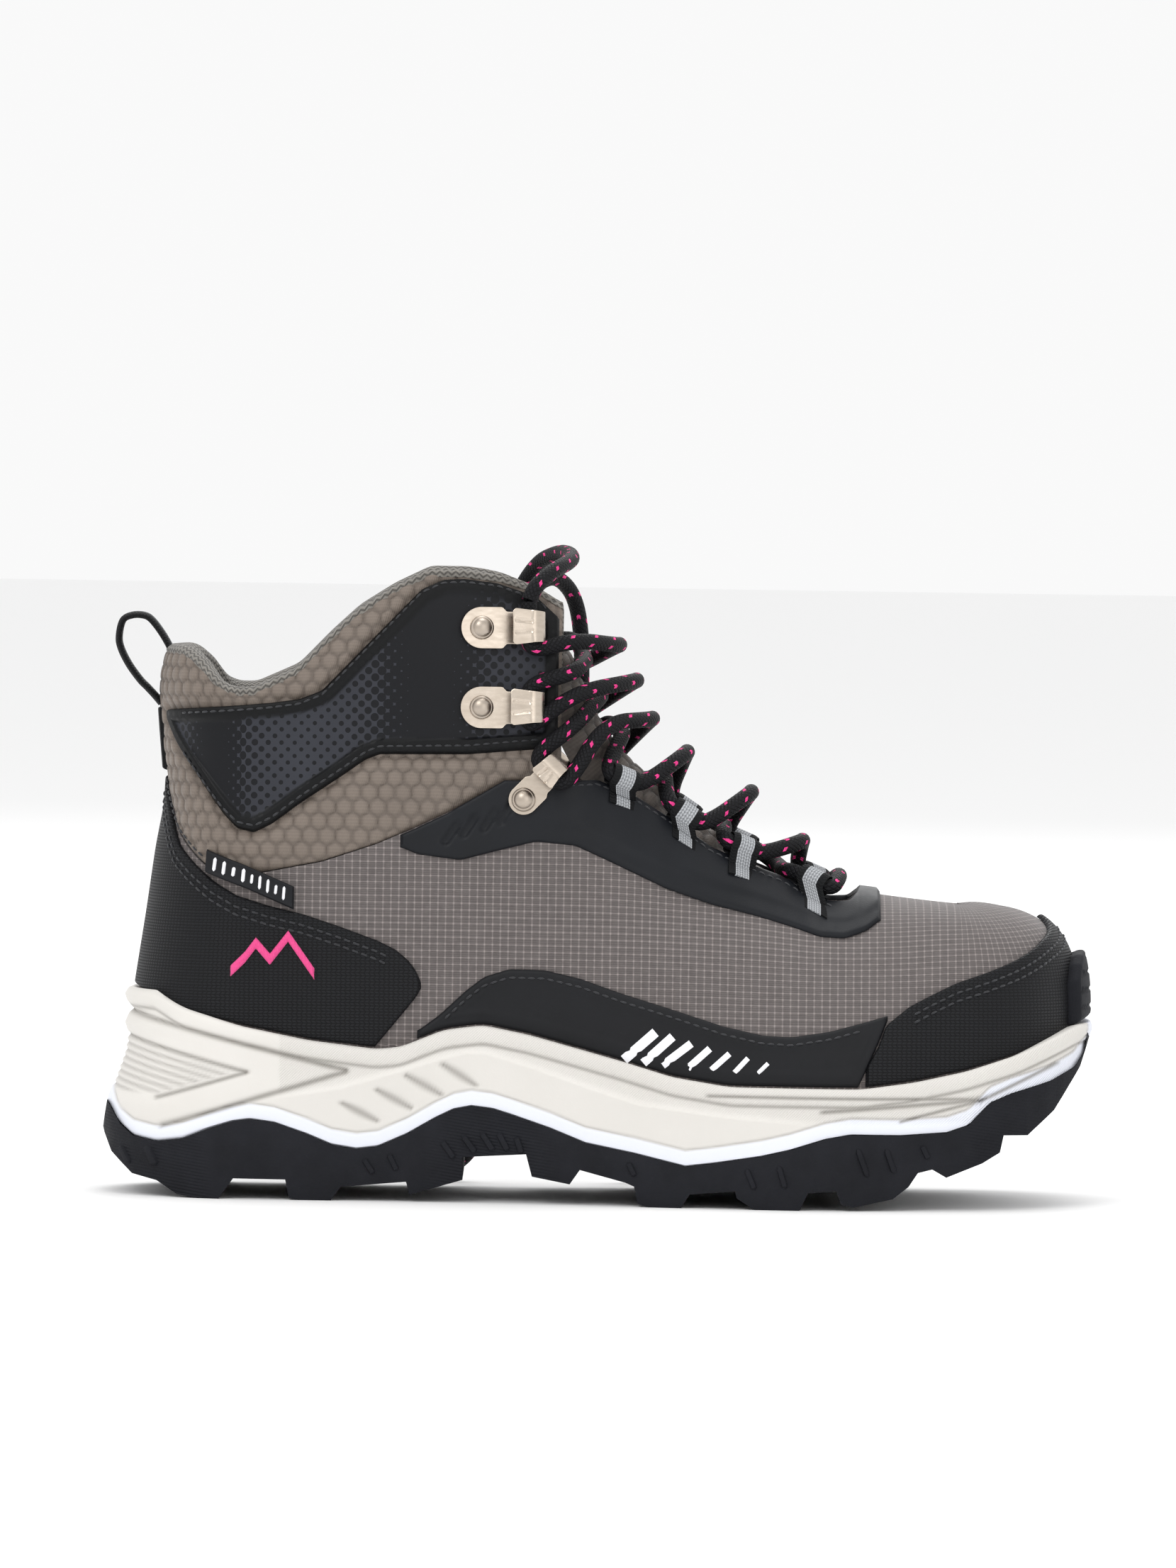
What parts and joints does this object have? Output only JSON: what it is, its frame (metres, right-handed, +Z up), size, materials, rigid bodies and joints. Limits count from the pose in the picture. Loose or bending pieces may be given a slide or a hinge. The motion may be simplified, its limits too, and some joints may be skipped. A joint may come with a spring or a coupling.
{
  "type": "hiking boot",
  "caption": "Mid-cut lace-up hiking boot for the right foot, with lugged rubber sole, foam midsole, padded collar, speed hooks, lace and heel pull loop.",
  "frame": {"origin": "middle of the boot's outline, without its loose lace ends, on the ground it stands on", "axes": "+X towards the toe, +Y towards the inner (medial) side, +Z up"},
  "size_m": [0.2789, 0.1214, 0.1832],
  "materials": {
    "outsole_rubber": "fine grained rubber",
    "midsole_foam": "moulded foam, satin",
    "shank_nylon": "matte",
    "board": "matte",
    "footbed_foam": "cloth covered foam",
    "ripstop": "ripstop weave",
    "lining_cloth": "knit",
    "stiffener": "matte",
    "embossed_synthetic": "embossed diamond grain",
    "smooth_film": "smooth matte",
    "white_print": "printed film",
    "moulded_overlay": "moulded, satin",
    "hex_cloth": "embossed hexagon cloth",
    "foam": "open cell foam",
    "mesh_lining": "spacer mesh",
    "printed_overlay": "moulded, dot print",
    "tongue_cloth": "embossed hexagon cloth",
    "loop_webbing": "woven with a silver patch",
    "nickel": "polished",
    "rivet_nickel": "polished",
    "lace_braid": "braided with pink flecks",
    "aglet_film": "clear film over black",
    "webbing": "woven, grey centre stripe",
    "tag_rubber": "moulded with white ribs",
    "pink_thread": "satin stitch"
  },
  "bodies": {
    "boot": {"outsole": "outsole_rubber", "midsole": "midsole_foam", "shank": "shank_nylon", "insole_board": "board", "ripstop_upper": "ripstop", "lining": "lining_cloth", "heel_counter": "stiffener", "toe_puff": "stiffener", "heel_cap": "embossed_synthetic", "toe_cap": "embossed_synthetic", "toe_bumper": "outsole_rubber", "mudguard_lateral": "smooth_film", "mudguard_medial": "smooth_film", "guard_bars": "white_print", "eyestay_overlay": "moulded_overlay", "collar_shell": "hex_cloth", "collar_foam": "foam", "collar_lining": "mesh_lining", "ankle_overlay_lateral": "printed_overlay", "ankle_overlay_medial": "printed_overlay", "webbing_loops": "loop_webbing", "speed_hooks": "nickel", "lock_hooks": "nickel", "hook_rivets": "rivet_nickel", "rivet_washers": "rivet_nickel", "lace": "lace_braid", "lace_tail_lateral": "lace_braid", "lace_tail_medial": "lace_braid", "aglet_lateral": "aglet_film", "aglet_medial": "aglet_film", "loop_anchors": "webbing", "heel_tape": "webbing", "side_tag": "tag_rubber", "heel_badge": "pink_thread"},
    "tongue": {"tongue_face": "tongue_cloth", "tongue_padding": "foam"},
    "pull_loop": {"pull_loop": "webbing"},
    "footbed": {"footbed": "footbed_foam"}
  },
  "joints": [
    {"name": "tongue_fold", "type": "hinge", "parent": "boot", "child": "tongue", "pos_m": [0.07, -0.0005, 0.079], "axis": [0, -1, 0], "range_deg": [0, 7], "stiffness_Nm_per_rad": 0.6},
    {"name": "loop_flop", "type": "hinge", "parent": "boot", "child": "pull_loop", "pos_m": [-0.1303, 0, 0.152], "axis": [0, 0, 1], "range_deg": [-15, 15], "stiffness_Nm_per_rad": 0.01},
    {"name": "footbed_lift", "type": "hinge", "parent": "boot", "child": "footbed", "pos_m": [0.127, 0.0057, 0.0446], "axis": [0, 1, 0], "range_deg": [0, 7]}
  ]
}
